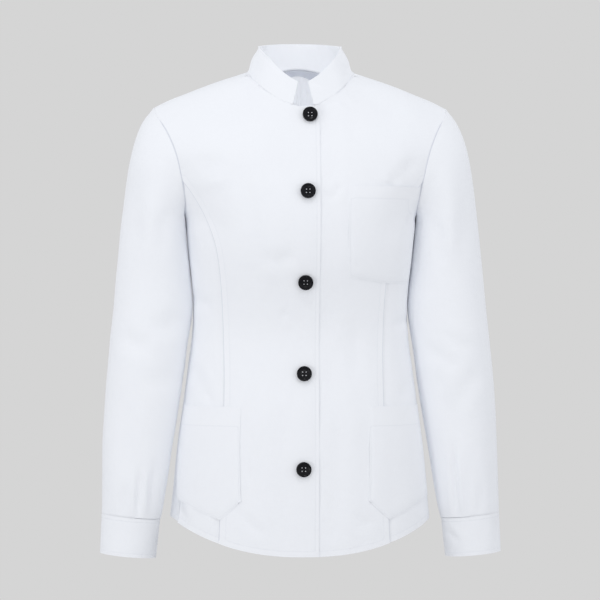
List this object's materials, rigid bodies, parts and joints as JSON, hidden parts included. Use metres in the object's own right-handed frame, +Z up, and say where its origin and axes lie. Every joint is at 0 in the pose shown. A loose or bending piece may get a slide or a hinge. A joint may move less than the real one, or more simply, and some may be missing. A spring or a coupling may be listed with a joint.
{
  "type": "mandarin collar blouse",
  "caption": "Long-sleeved white blouse with a stand collar, buttoned front, patch pockets and a curved hem, filled out as if worn and hollow inside.",
  "frame": {"origin": "midway between the two neck points, where the shoulder seams meet the collar; the garment hangs from here on a wearer or a hanger", "axes": "+X towards the wearer's left, -Y out of the front, +Z up; the centre front and centre back lie on X = 0"},
  "size_m": [0.5496, 0.2441, 0.7102],
  "materials": {
    "white_cotton": "plain woven, matt with a slight sheen",
    "grey_tape": "fine woven tape, matt",
    "black_button": "polished"
  },
  "bodies": {
    "root": {"front_right": "white_cotton", "front_left": "white_cotton", "side_front_right": "white_cotton", "side_front_left": "white_cotton", "back": "white_cotton", "collar": "white_cotton", "sleeve_right": "white_cotton", "sleeve_left": "white_cotton", "cuff_right": "white_cotton", "cuff_left": "white_cotton", "chest_pocket": "white_cotton", "hip_pocket_right": "white_cotton", "hip_pocket_left": "white_cotton", "neck_label": "grey_tape", "button_1": "black_button", "button_2": "black_button", "button_3": "black_button", "button_4": "black_button", "button_5": "black_button"}
  },
  "joints": []
}
